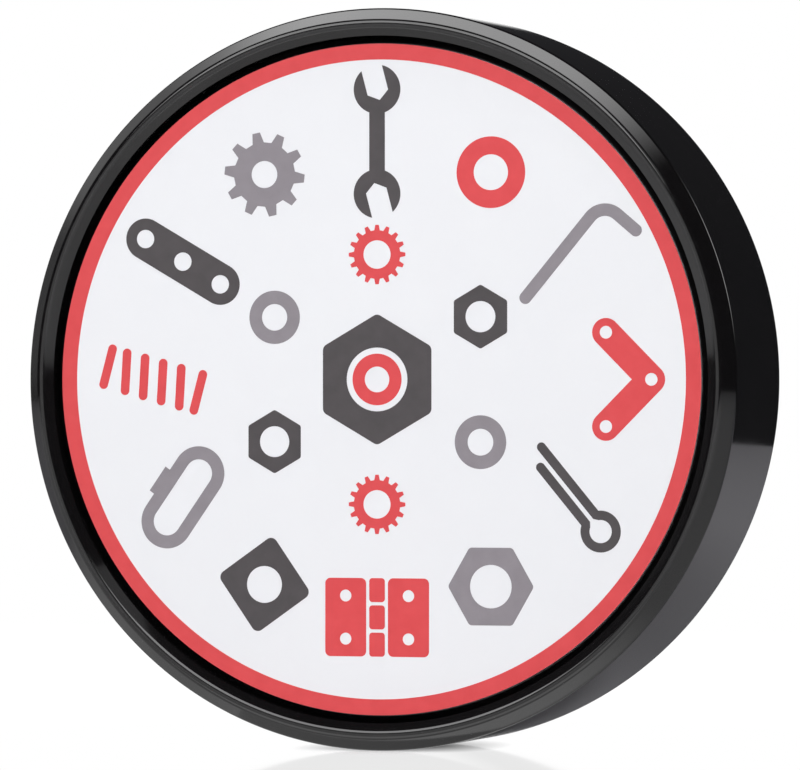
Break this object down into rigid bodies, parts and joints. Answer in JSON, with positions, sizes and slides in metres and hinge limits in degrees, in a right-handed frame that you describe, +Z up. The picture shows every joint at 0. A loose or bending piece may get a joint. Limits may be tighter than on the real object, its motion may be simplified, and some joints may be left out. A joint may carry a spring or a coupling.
{
  "type": "magnetic screw holder",
  "caption": "Round puck-shaped magnetic holder for screws, nails and bits: glossy black case, raised bezel round a printed face, magnets behind it, screwed rear cover with a rubber pad.",
  "frame": {"origin": "lowest line of the rim, under the middle of the depth, where the holder stands on a table as in the picture", "axes": "+Z up, -Y is the way the printed face looks, +Y is the rear, the round case's axis runs along Y"},
  "size_m": [0.075, 0.019, 0.0749],
  "materials": {
    "case_gloss": "polished",
    "label_print": "satin",
    "tray_plastic": "satin",
    "ferrite": "matte",
    "zinc_steel": "satin",
    "foam": "matte",
    "cover_matt": "satin",
    "pad_rubber": "matte",
    "screw_steel": "satin"
  },
  "bodies": {
    "root": {"front_case": "case_gloss", "face_label": "label_print", "magnet_tray": "tray_plastic", "magnet_centre": "ferrite", "magnet_1": "ferrite", "magnet_2": "ferrite", "magnet_3": "ferrite", "magnet_4": "ferrite", "magnet_5": "ferrite", "magnet_6": "ferrite", "yoke_plate": "zinc_steel", "foam_pad": "foam", "rear_cover": "cover_matt", "rear_pad": "pad_rubber", "cover_screw_1": "screw_steel", "cover_screw_2": "screw_steel", "cover_screw_3": "screw_steel", "cover_screw_4": "screw_steel"}
  },
  "joints": []
}
